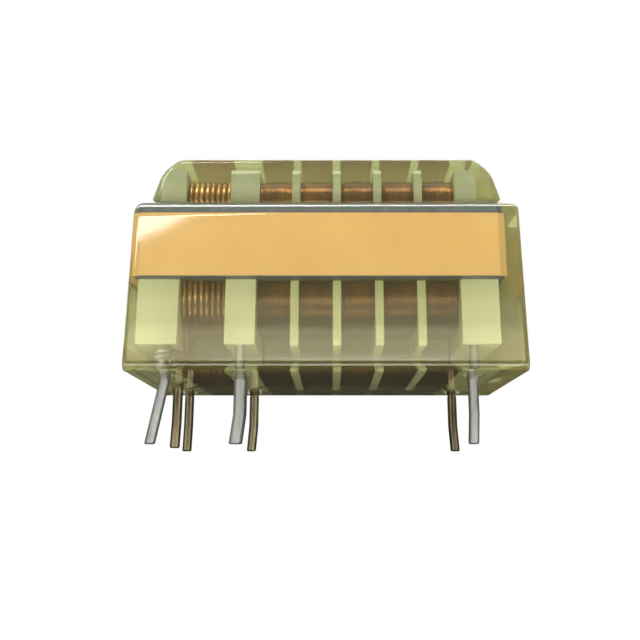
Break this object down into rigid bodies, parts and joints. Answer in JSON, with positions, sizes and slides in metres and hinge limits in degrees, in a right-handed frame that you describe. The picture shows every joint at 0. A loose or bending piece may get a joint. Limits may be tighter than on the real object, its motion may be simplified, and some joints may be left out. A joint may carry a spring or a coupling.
{
  "type": "transformer",
  "caption": "Potted high-voltage transformer: wound sectioned bobbin on a taped ferrite core, cast in clear yellow-green resin, with round pins for a circuit board.",
  "frame": {"origin": "centre of the resin's pin side face", "axes": "+X runs along the bobbin from the primary to the far end of the secondary, +Z points away from the pins, -Y is the side that the picture shows"},
  "size_m": [0.026, 0.0168, 0.0194],
  "materials": {
    "resin": "clear cast resin",
    "ferrite": "sintered, matt",
    "tape": "polyester film",
    "bobbin": "moulded",
    "copper": "enamelled wire",
    "pin": "tinned",
    "solder": "dull solder"
  },
  "bodies": {
    "root": {"bobbin": "bobbin", "core_half_left": "ferrite", "core_half_right": "ferrite", "core_tape": "tape", "pin_left_front": "pin", "pin_left_middle": "pin", "pin_left_back": "pin", "pin_middle_front": "pin", "pin_middle_back": "pin", "pin_right_front": "pin", "pin_right_back": "pin", "primary_winding": "copper", "secondary_winding": "copper", "solder_left_front": "solder", "solder_left_middle": "solder", "solder_left_back": "solder", "solder_middle_back": "solder", "solder_right_back": "solder", "resin_block": "resin"}
  },
  "joints": []
}
